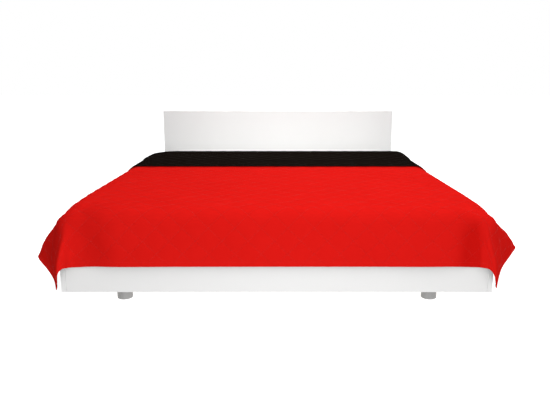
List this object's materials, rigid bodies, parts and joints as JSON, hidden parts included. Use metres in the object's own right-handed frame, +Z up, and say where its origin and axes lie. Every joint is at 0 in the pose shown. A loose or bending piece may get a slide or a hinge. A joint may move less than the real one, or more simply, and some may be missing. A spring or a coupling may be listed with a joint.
{
  "type": "quilted bedspread on a low double bed",
  "caption": "Reversible quilted bedspread, red with a black reverse, draped over a plain low white bed, its head end turned down in a band and its foot corners falling in soft folds.",
  "frame": {"origin": "on the floor, under the middle of the bounding box of the bed with its bedspread", "axes": "+Z up, +Y from the foot of the bed to the headboard, +X to the right of someone who stands at the foot and looks at the headboard"},
  "size_m": [1.9298, 2.1152, 0.628],
  "materials": {
    "quilt_face": "matt quilted microfibre",
    "quilt_reverse": "matt quilted microfibre",
    "mattress_cover": "matt woven cover",
    "white_board": "white satin lacquer",
    "base_board": "plain unlacquered board",
    "grey_foot": "grey satin"
  },
  "bodies": {
    "root": {"bedspread": "quilt_face", "bedspread_reverse": "quilt_reverse", "mattress": "mattress_cover", "headboard": "white_board", "foot_rail": "white_board", "side_rail_left": "white_board", "side_rail_right": "white_board", "bed_base": "base_board", "bed_foot_front_left": "grey_foot", "bed_foot_front_right": "grey_foot", "bed_foot_back_left": "grey_foot", "bed_foot_back_right": "grey_foot"}
  },
  "joints": []
}
